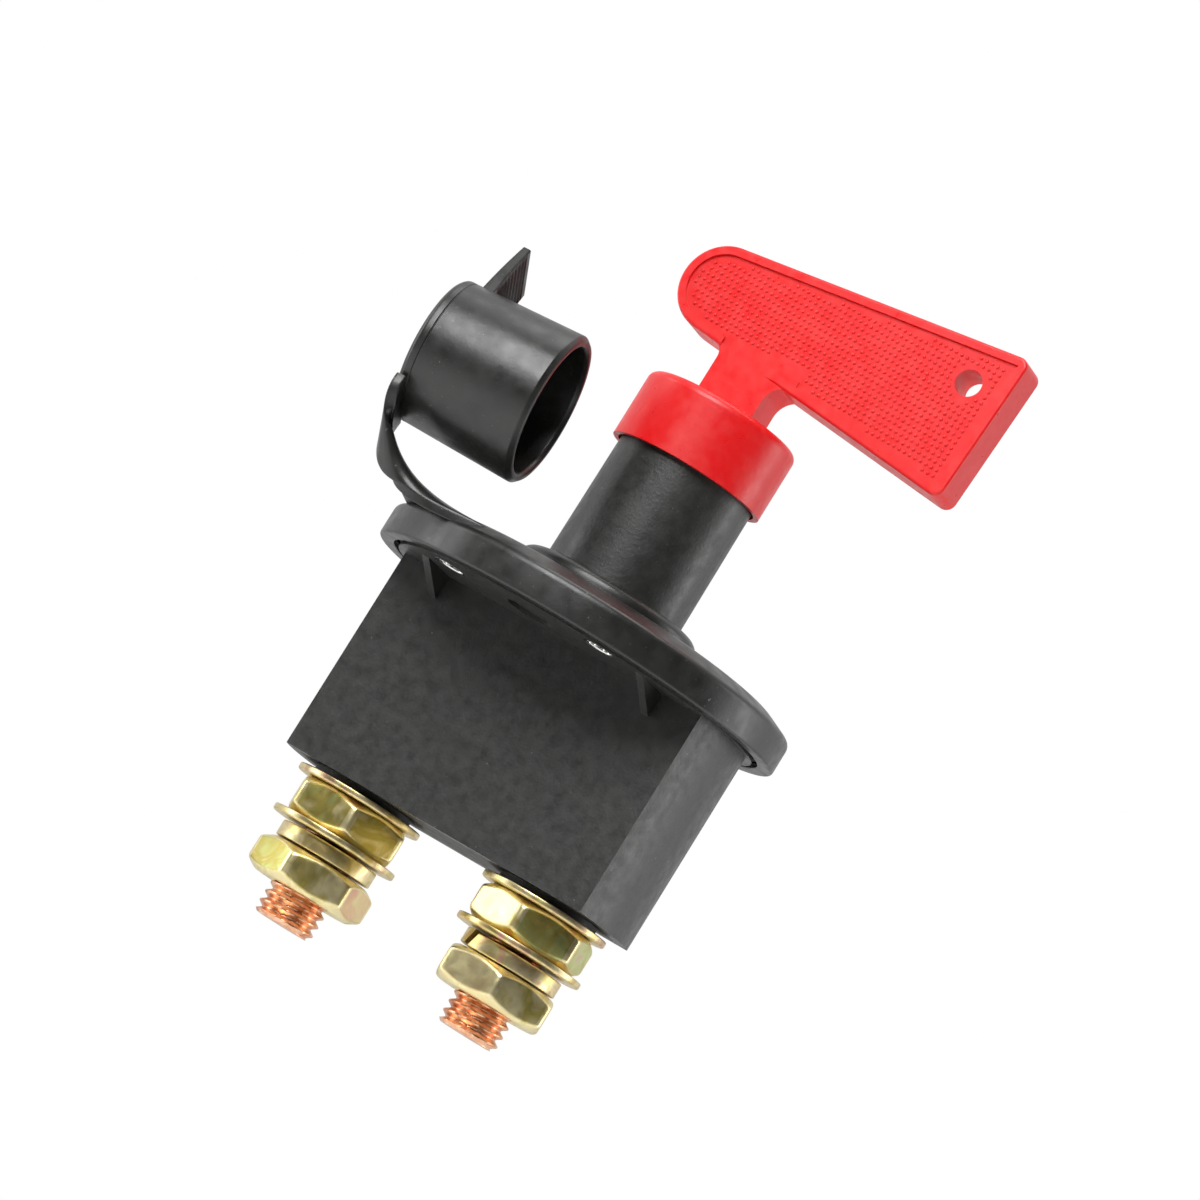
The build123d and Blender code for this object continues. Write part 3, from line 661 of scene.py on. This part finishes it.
@dataclass
class Boot:
    """Rubber boot over the flange, its strap and the cap for the neck."""

    rim_r: float = 33.6
    wall_r: float = 31.7
    lip_r: float = 31.1
    bottom: float = 0.1
    lip_top: float = 1.1
    under: float = 4.6
    edge_z: float = 5.0
    top_r: float = 29.0
    top_z: float = 7.1
    collar_r: float = 14.9
    collar_tip_r: float = 12.5
    collar_z: float = 10.7
    bore_r: float = 11.42
    cap_centre: tuple[float, float, float] = (-31.1, -29.1, 25.65)
    cap_turn: float = 12.87
    cap_lift: float = 2.0
    cap_roll: float = 27.9
    cap_length: float = 20.1
    cap_closed_r: float = 11.2
    cap_open_r: float = 11.8
    cap_bore_r: float = 10.1
    cap_floor: float = 1.7
    tab_root: float = 10.4
    tab_tip: float = 20.2
    tab_half: tuple[float, float] = (6.4, 5.2)
    tab_z: float = 2.2
    tab_thickness: tuple[float, float] = (1.95, 1.3)  # at its root and at its tip
    tab_sunk: float = 1.6                # how far its root lies inside the shell
    tab_rows: int = 150
    tab_ribs: int = 9
    rib_height: float = 0.4
    tab_bend: float = 0.5                # how far the tip leans towards the mouth
    strap_t: float = 1.62
    strap_rows: int = 72
    strap_half_w: float = 5.45
    strap_heading: float = 229.0
    strap_root_z: float = 5.6
    # side: azimuth and radius of its root, pull at the disc and at the root, rise there
    strap_edges: dict[int, tuple[float, ...]] = field(default_factory=lambda: {
        -1: (220.0, 32.6, 7.0, 3.1, 0.4), 1: (255.9, 29.4, 15.0, 3.4, 0.45)})

    def build(self) -> None:
        """Makes the cover, the cap with its tab, and the strap."""
        self.cover()
        self.cap()
        self.strap()

    def cover(self) -> None:
        """Rubber cover: one rounded profile carried round the neck."""
        corners = np.array([
            [self.bore_r, self.under], [self.wall_r, self.under], [self.wall_r, self.lip_top],
            [self.lip_r, self.lip_top], [self.lip_r, self.bottom], [self.rim_r, self.bottom],
            [self.rim_r, self.edge_z], [self.top_r, self.top_z], [self.collar_r, self.top_z],
            [self.collar_r - 0.1, self.top_z + 2.6], [self.collar_tip_r + 1.2, self.collar_z - 0.15],
            [self.collar_tip_r, self.collar_z], [self.bore_r, self.collar_z]])
        radii = np.array([0.0, 0.1, 0.1, 0.2, 0.2, 0.5, 0.9, 1.1, 1.1, 0.8, 0.5, 0.3, 0.15])
        skin = Skin(turned(rounded(corners, radii, 6), around(256)))
        Piece("boot_cover_made", [skin], BOOT_RUBBER, "root", "boot_rubber", ("boot_cover",)).build()

    def cap_axes(self) -> Array:
        """Rows: the cap's strap way, its third axis, and the way to its mouth.

        The mouth's heading and lift give its direction; sideways is level and square to it, and the strap
        leaves the disc by the roll angle off straight down.
        """
        turn, lift, roll = np.radians([self.cap_turn, self.cap_lift, self.cap_roll])
        mouth = np.array([np.cos(lift) * np.cos(turn), np.cos(lift) * np.sin(turn), np.sin(lift)])
        sideways = np.array([np.sin(turn), -np.cos(turn), 0.0])
        strap_way = sideways * np.sin(roll) - np.cross(sideways, mouth) * np.cos(roll)
        return np.stack([strap_way, np.cross(mouth, strap_way), mouth])

    def in_cap_frame(self, points: Array) -> Array:
        """Points given in the cap's own axes, put in their place."""
        return points @ self.cap_axes() + np.array(self.cap_centre)

    def cap(self) -> None:
        """Cap shell with a parting line round its disc, and its ribbed pull tab."""
        length, line = self.cap_length, self.cap_floor
        corners = np.array([
            [0.0, 0.0], [self.cap_closed_r - 0.6, 0.0], [self.cap_closed_r, 0.6],
            [self.cap_closed_r, line - 0.12], [self.cap_closed_r - 0.14, line],
            [self.cap_closed_r, line + 0.12],
            [self.cap_open_r, length - 0.75], [self.cap_open_r - 0.65, length],
            [self.cap_bore_r + 0.35, length], [self.cap_bore_r, length - 0.5],
            [self.cap_bore_r, self.cap_floor], [0.0, self.cap_floor]])
        radii = np.array([0.0, 0.3, 0.3, 0.05, 0.05, 0.05, 0.15, 0.15, 0.15, 0.3, 0.6, 0.0])
        shell = Skin(self.in_cap_frame(turned(rounded(corners, radii), around(160))), wrap_columns=False)
        Piece("neck_cap_shell", [shell], BOOT_RUBBER, "cap", "boot_rubber", ("neck_cap",)).build()
        Piece("neck_cap_tab", [self.tab()], BOOT_RUBBER, "cap", "boot_rubber", sharp_deg=50).build()

    def tab(self) -> Skin:
        """Tapering plate whose mouth side is ribbed across.

        Each cross-section is a rounded oblong; the ribs add a rounded saw, height * (1 - |2 phase - 1|), to
        its mouth side over the outer part, away from the two side edges.
        """
        along = np.linspace(0, 1, self.tab_rows)
        reach = self.tab_root - self.tab_sunk + (self.tab_tip - self.tab_root + self.tab_sunk) * along
        half = np.interp(along, [0, 1], self.tab_half)
        high = self.tab_z + np.interp(along, [0, 1], self.tab_thickness)
        low = np.full_like(half, self.tab_z)
        corners = np.stack([np.stack([-half, low], -1), np.stack([half, low], -1), np.stack([half, high], -1),
                            np.stack([-half, high], -1)], axis=1)
        outline = rounded(corners, np.array([0.35, 0.35, 0.3, 0.3]), 5)
        across = np.linspace(0, 1, 9)[1:-1]
        crest = half[:, None] * (1 - 2 * across) * 0.93
        top = np.stack([crest, np.broadcast_to(high[:, None], crest.shape)], -1)
        outline = np.concatenate([outline[:, :15], top, outline[:, 15:]], axis=1)
        phase = (along * (self.tab_ribs + 2.4)) % 1.0
        ridge = self.rib_height * (1 - np.abs(2 * phase - 1))
        ribs = ridge * smoothstep(along, 0.12, 0.16) * (1 - smoothstep(along, 0.9, 0.93))
        on_top = (outline[..., 1] > high[:, None] - 0.02) & (np.abs(outline[..., 0]) < half[:, None] * 0.96)
        lowered = outline[..., 1] - np.where(on_top, ribs[:, None], 0)
        lowered = lowered + self.tab_bend * along[:, None] ** 2
        points = np.stack([np.broadcast_to(-reach[:, None], lowered.shape), outline[..., 0], lowered], axis=-1)
        return capped(self.in_cap_frame(points))

    def strap_lines(self) -> Array:
        """Control points of the strap's two edges, (2, 4, 3): from inside the disc to inside the rim."""
        axes = self.cap_axes()
        heading = np.radians(self.strap_heading)
        lines = []
        for side, (azimuth, reach, leave_pull, root_pull, rise) in self.strap_edges.items():
            start = (np.array(self.cap_centre) + axes[0] * (self.cap_closed_r - 0.55)
                     + axes[1] * side * self.strap_half_w + axes[2] * (0.04 + self.strap_t / 2))
            spot = np.radians(azimuth)
            root = np.array([reach * np.cos(spot), reach * np.sin(spot), self.strap_root_z])
            outward = np.array([np.cos(heading), np.sin(heading), rise])
            lines.append([start, start + axes[0] * (leave_pull + 0.9), root + outward * root_pull, root])
        return np.array(lines)

    def strap(self) -> None:
        """Flat strap: a rounded oblong carried between two cubic curves.

        At each station the oblong spans from one curve to the other, and its thickness lies along the
        cross product of that span and the way the curves run.
        """
        t = np.linspace(0, 1, self.strap_rows)[:, None]
        terms = np.concatenate([(1 - t) ** 3, 3 * t * (1 - t) ** 2, 3 * t * t * (1 - t), t ** 3], axis=1)
        left, right = np.einsum("tk,skd->std", terms, self.strap_lines())
        span = right - left
        width = np.linalg.norm(span, axis=1)
        run = np.gradient((left + right) / 2, axis=0)
        normal = np.cross(span, run)
        normal /= np.linalg.norm(normal, axis=1)[:, None]
        half_t = self.strap_t / 2
        flat = np.linspace(0, 1, 9)[1:-1]
        corners = np.stack([np.stack([x * width, np.full_like(width, y)], -1)
                            for x, y in ((0, -half_t), (1, -half_t), (1, half_t), (0, half_t))], axis=1)
        outline = rounded(corners, np.full(4, 0.4), 5)
        level = np.full((len(width), len(flat)), half_t)
        under = np.stack([width[:, None] * flat, -level], -1)
        over = np.stack([width[:, None] * flat[::-1], level], -1)
        outline = np.concatenate([outline[:, :5], under, outline[:, 5:15], over, outline[:, 15:]], axis=1)
        share = (outline[..., 0] / width[:, None])[..., None]
        points = left[:, None] + span[:, None] * share + normal[:, None] * outline[..., 1:2]
        made = Piece("boot_strap_made", [capped(points)], BOOT_RUBBER, "root", "boot_rubber",
                     ("boot_strap",), 50).build(ride=False)
        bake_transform(made)


# --- the key ----------------------------------------------------------------------------------------

@dataclass
class Key:
    """Red key: the CAD moulding, with the pips of its two grip panels added."""

    half_t: float = 3.42
    panel_depth: float = 0.45
    heel: tuple[float, float] = (-9.7, 57.8)
    heel_r: float = 6.9
    tip_top: tuple[float, float] = (39.0, 68.9)
    tip_bottom: tuple[float, float] = (37.7, 44.6)
    hole: tuple[float, float] = (32.1, 61.9)
    hole_r: float = 2.1
    stem_x: tuple[float, float] = (-7.0, 9.4)
    stem_z: float = 52.6
    pitch: float = 0.97
    lattice_deg: float = -2.3
    margin: float = 2.25
    pip_r: float = 0.3
    pip_h: float = 0.2
    lattice_centre: tuple[float, float] = (14.0, 57.0)
    lattice_steps: int = 60
    hole_margin: float = 0.75

    def build(self) -> None:
        """Dresses the key and sets its pips."""
        dress_node("key", RED_KEY)
        self.pips()

    def depth_inside(self, x: Array, z: Array) -> Array:
        """How far points lie inside the blade's outline: the least distance to its three straight sides and,
        towards the heel, to its round end."""
        heel_x, heel_z = self.heel
        corners = np.array([[heel_x - 0.6, heel_z + self.heel_r], self.tip_top, self.tip_bottom,
                            [heel_x - 0.9, heel_z - self.heel_r]])
        depths = []
        for start, end in zip(corners[:-1], corners[1:]):
            side = (end - start) / np.linalg.norm(end - start)
            depths.append(-(side[0] * (z - start[1]) - side[1] * (x - start[0])))
        round_end = self.heel_r - np.hypot(x - heel_x, z - heel_z)
        depths.append(np.where(x < heel_x, round_end, 99.0))
        return np.min(depths, axis=0)

    def pips(self) -> None:
        """Low domes on a turned square lattice inside both panels, off the hole and the stem.

        A dome is three rings, radius r cos(e) and height h sin(e), set down a little into the panel's floor.
        """
        steps = np.arange(-self.lattice_steps, self.lattice_steps + 1) * self.pitch
        u, v = np.meshgrid(steps, steps)
        turn = np.radians(self.lattice_deg)
        x = (self.lattice_centre[0] + u * np.cos(turn) - v * np.sin(turn)).ravel()
        z = (self.lattice_centre[1] + u * np.sin(turn) + v * np.cos(turn)).ravel()
        keep = self.depth_inside(x, z) > self.margin
        keep &= np.hypot(x - self.hole[0], z - self.hole[1]) > self.hole_r + self.hole_margin
        keep &= ~((x > self.stem_x[0]) & (x < self.stem_x[1]) & (z < self.stem_z))
        spots = np.stack([x[keep], z[keep]], axis=-1)
        rise = np.radians([-25.0, 10.0, 45.0, 90.0])
        ring = around(8)
        skins = []
        for side in (-1, 1):
            floor = self.half_t - self.panel_depth
            radius = self.pip_r * np.cos(rise)
            out = floor + self.pip_h * np.sin(rise)
            dome = np.stack([radius[:, None] * np.cos(ring), np.broadcast_to(side * out[:, None], (4, 8)),
                             radius[:, None] * np.sin(ring)], axis=-1)
            foot = np.broadcast_to(dome[0].mean(axis=0), dome[:1].shape)
            dome = np.concatenate([foot, dome])
            for spot in spots:
                skins.append(Skin(dome + np.array([spot[0], 0.0, spot[1]]), wrap_rows=False))
        Piece("key_grip_pips", skins, RED_KEY, "key", "key_plastic", sharp_deg=70).build()


# --- the fixed shell and the mechanism --------------------------------------------------------------

@dataclass
class Shell:
    """Housing, base plate and mounting eyelets."""

    hole_x: float = 13.5
    hole_y: float = 22.0
    bore_r: float = 2.1
    tube_r: float = 2.4
    rim_r: float = 2.65
    rim_h: float = 0.35
    flange_top: float = 4.6

    def build(self) -> None:
        """Dresses the housing and base plate and makes the eyelets."""
        dress_node("housing", NYLON_BODY)
        dress_node("base_plate", NYLON_BASE)
        corners = np.array([[self.bore_r, 0.12], [self.bore_r + 0.22, 0.0], [self.rim_r, 0.0],
                            [self.rim_r, self.rim_h], [self.tube_r, self.rim_h], [self.tube_r, self.flange_top],
                            [self.bore_r, self.flange_top]])
        profile = rounded(corners, np.array([0.15, 0.15, 0.12, 0.05, 0.05, 0.0, 0.0]))
        eyelet = Skin(turned(profile, around(48)))
        places = [(x, y, 0.0) for x in (-self.hole_x, self.hole_x) for y in (-self.hole_y, self.hole_y)]
        Piece("mounting_eyelets_made", [eyelet.moved(place) for place in places], NICKEL, "root",
              "nickel_plate", ("mounting_eyelets",)).build()


@dataclass
class Mechanism:
    """What the closed housing hides: rotor, plunger, bridge, clip and spring."""

    def build(self) -> None:
        """Dresses the mechanism's CAD nodes."""
        for node, finish in (("cam_rotor", NATURAL_NYLON), ("plunger", NATURAL_NYLON),
                             ("contact_bridge", COPPER), ("bridge_clip", SPRING_STEEL),
                             ("return_spring", SPRING_STEEL)):
            dress_node(node, finish)


# --- studio -----------------------------------------------------------------------------------------

@dataclass
class Studio:
    """Camera, soft lights and paper floor. Right, up and front are the camera's own ways round the object."""

    orbit_deg: float = 26.276
    distance: float = 766.158
    camera_z: float = -80.364
    aim_right: float = -1.123
    aim_z: float = 8.935
    roll_deg: float = 31.888
    lens: float = 158.44
    floor_z: float = -320.0
    floor_size: float = 3000.0
    fill_behind: float = 0.75
    fill_in_front: float = 0.05

    def ways(self) -> tuple[Vector, Vector, Vector]:
        """Level unit vectors: to the camera's right, up, and from the object towards the camera."""
        turn = np.radians(self.orbit_deg)
        return (Vector((np.cos(turn), np.sin(turn), 0)), Vector((0, 0, 1)),
                Vector((np.sin(turn), -np.cos(turn), 0)))

    def build(self) -> None:
        """Sets camera, lights, surroundings and floor."""
        self.camera()
        # name, right, up, front, width, height (mm), watts
        for name, right, up, front, width, height, watts in (
                ("key_softbox", -330, 500, 560, 520, 520, 7.5),
                ("left_strip", -700, 60, -60, 200, 700, 1.6),
                ("top_panel", 0, 800, -100, 700, 400, 1.8),
                ("right_strip", 680, 60, -60, 260, 800, 1.8)):
            self.softbox(name, (right, up, front), (width, height), watts)
        self.surroundings()
        self.floor()
        bpy.context.scene.view_settings.view_transform = "Standard"

    def camera(self) -> None:
        """Camera from its orbit, rolled about its own line of sight."""
        right_way, _, front = self.ways()
        place = (front * self.distance + Vector((0, 0, self.camera_z))) * MM
        aim = (right_way * self.aim_right + Vector((0, 0, self.aim_z))) * MM
        ahead = (aim - place).normalized()
        level = ahead.cross(Vector((0, 0, 1))).normalized()
        over = level.cross(ahead)
        roll = np.radians(self.roll_deg)
        right = level * np.cos(roll) + over * np.sin(roll)
        above = over * np.cos(roll) - level * np.sin(roll)
        data = bpy.data.cameras.new("camera")
        data.lens, data.sensor_width = self.lens, 36.0
        data.clip_start, data.clip_end = 0.05, 20.0
        made = bpy.data.objects.new("camera", data)
        made.matrix_world = Matrix((right, above, -ahead)).transposed().to_4x4()
        made.location = place
        bpy.context.scene.collection.objects.link(made)
        bpy.context.scene.camera = made

    def softbox(self, name: str, place: Sequence[float], size: Sequence[float], watts: float) -> None:
        """Rectangular soft light that faces the object's middle."""
        data = bpy.data.lights.new(name, "AREA")
        data.shape, data.energy = "RECTANGLE", watts
        data.size, data.size_y = size[0] * MM, size[1] * MM
        made = bpy.data.objects.new(name, data)
        made.location = sum((way * (amount * MM) for way, amount in zip(self.ways(), place)), Vector())
        made.rotation_euler = made.location.to_track_quat("Z", "Y").to_euler()
        bpy.context.scene.collection.objects.link(made)

    def surroundings(self) -> None:
        """White room as seen directly; as fill it is pale behind the object and dark on the camera's side."""
        world = bpy.data.worlds.new("studio")
        world.use_nodes = True
        tree = world.node_tree
        tree.nodes.clear()
        heading = add_node(tree, "ShaderNodeTexCoord").outputs["Generated"]
        nearness = add_node(tree, "ShaderNodeVectorMath", {"operation": "DOT_PRODUCT", 1: self.ways()[2]},
                            {0: heading}).outputs["Value"]
        strength = between(tree, nearness, -0.3, 0.4, self.fill_behind, self.fill_in_front)
        fill = add_node(tree, "ShaderNodeBackground", {"Color": linear("#ffffff")}, {"Strength": strength})
        white = add_node(tree, "ShaderNodeBackground", {"Color": linear("#ffffff"), "Strength": 1.0})
        seen = add_node(tree, "ShaderNodeLightPath").outputs["Is Camera Ray"]
        mix = add_node(tree, "ShaderNodeMixShader", links={0: seen, 1: fill.outputs[0], 2: white.outputs[0]})
        add_node(tree, "ShaderNodeOutputWorld", links={"Surface": mix.outputs[0]})
        bpy.context.scene.world = world

    def floor(self) -> None:
        """Pale paper floor well below the object."""
        half = self.floor_size / 2
        mesh = bpy.data.meshes.new("paper_floor")
        mesh.from_pydata([(x * MM, y * MM, self.floor_z * MM)
                          for x, y in ((-half, -half), (half, -half), (half, half), (-half, half))], [],
                         [(0, 1, 2, 3)])
        mesh.materials.append(PAPER.material())
        made = bpy.data.objects.new("paper_floor", mesh)
        bpy.context.scene.collection.objects.link(made)


def main() -> None:
    """Builds the sub-assemblies in order, then the studio."""
    logging.basicConfig(level=logging.INFO, format="%(message)s")
    # Each nut flat's painted reflection colour, as places in the plating's run, inner nut then outer nut.
    left_tints = (0.3, 0.9, 0.1, 0.5, 0.7, 0.62), (0.0, 0.95, 0.65, 0.3, 0.8, 0.5)
    right_tints = (0.9, 0.0, 0.62, 0.4, 0.2, 0.8), (0.1, 0.6, 0.95, 0.7, 0.3, 0.5)
    parts: Iterable[Any] = (
        Shell(), Mechanism(),
        Terminal("left", (29.2, 1.9), 100.0, left_tints),
        Terminal("right", (9.4, 24.2), -123.0, right_tints),
        Boot(), Key(), Studio())
    for part in parts:
        part.build()


if __name__ == "__main__":
    main()
